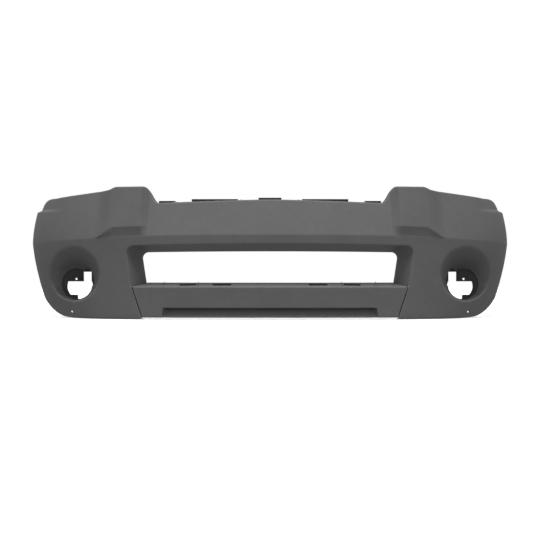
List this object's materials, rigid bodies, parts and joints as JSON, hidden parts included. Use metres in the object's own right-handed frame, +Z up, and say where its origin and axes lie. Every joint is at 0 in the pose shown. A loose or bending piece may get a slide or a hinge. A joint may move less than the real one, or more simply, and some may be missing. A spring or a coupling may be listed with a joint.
{
  "type": "front bumper cover",
  "caption": "Front bumper cover for a sport-utility vehicle: raised towers beside the grille, central air opening, bolted-in lower valance and round fog lamp recesses with black brackets.",
  "frame": {"origin": "middle of the hole in the centre tab of the top support strip, half-way through the tab's wall", "axes": "-Y is the front of the vehicle, +X its left side (right as seen from the front), +Z up; the part is symmetrical about X = 0"},
  "size_m": [1.834, 0.5615, 0.485],
  "materials": {
    "cover": "fine-grained, matte mid grey, moulded in colour",
    "bracket": "satin black glass-filled nylon",
    "rivet": "satin black nylon",
    "screw": "zinc-plated steel"
  },
  "bodies": {
    "cover": {"cover_shell": "cover", "center_valance": "cover", "top_support_strip": "bracket", "top_strip_screws": "screw", "fog_bracket_left": "bracket", "fog_bracket_screws_left": "screw", "side_guide_left": "bracket", "side_guide_screws_left": "screw", "rivet_sleeves_left": "rivet", "fog_bracket_right": "bracket", "fog_bracket_screws_right": "screw", "side_guide_right": "bracket", "side_guide_screws_right": "screw", "rivet_sleeves_right": "rivet"},
    "rivet_pin_left_1": {"rivet_pin_left_1": "rivet"},
    "rivet_pin_left_2": {"rivet_pin_left_2": "rivet"},
    "rivet_pin_left_3": {"rivet_pin_left_3": "rivet"},
    "rivet_pin_right_1": {"rivet_pin_right_1": "rivet"},
    "rivet_pin_right_2": {"rivet_pin_right_2": "rivet"},
    "rivet_pin_right_3": {"rivet_pin_right_3": "rivet"}
  },
  "joints": [
    {"name": "pin_slide_left_1", "type": "slide", "parent": "cover", "child": "rivet_pin_left_1", "axis": [-0.9503, -0.019, 0.3109], "range_m": [0, 0.006]},
    {"name": "pin_slide_left_2", "type": "slide", "parent": "cover", "child": "rivet_pin_left_2", "axis": [-0.9503, -0.019, 0.3109], "range_m": [0, 0.006]},
    {"name": "pin_slide_left_3", "type": "slide", "parent": "cover", "child": "rivet_pin_left_3", "axis": [-0.9503, -0.019, 0.3109], "range_m": [0, 0.006]},
    {"name": "pin_slide_right_1", "type": "slide", "parent": "cover", "child": "rivet_pin_right_1", "axis": [0.9503, -0.019, 0.3109], "range_m": [0, 0.006]},
    {"name": "pin_slide_right_2", "type": "slide", "parent": "cover", "child": "rivet_pin_right_2", "axis": [0.9503, -0.019, 0.3109], "range_m": [0, 0.006]},
    {"name": "pin_slide_right_3", "type": "slide", "parent": "cover", "child": "rivet_pin_right_3", "axis": [0.9503, -0.019, 0.3109], "range_m": [0, 0.006]}
  ]
}
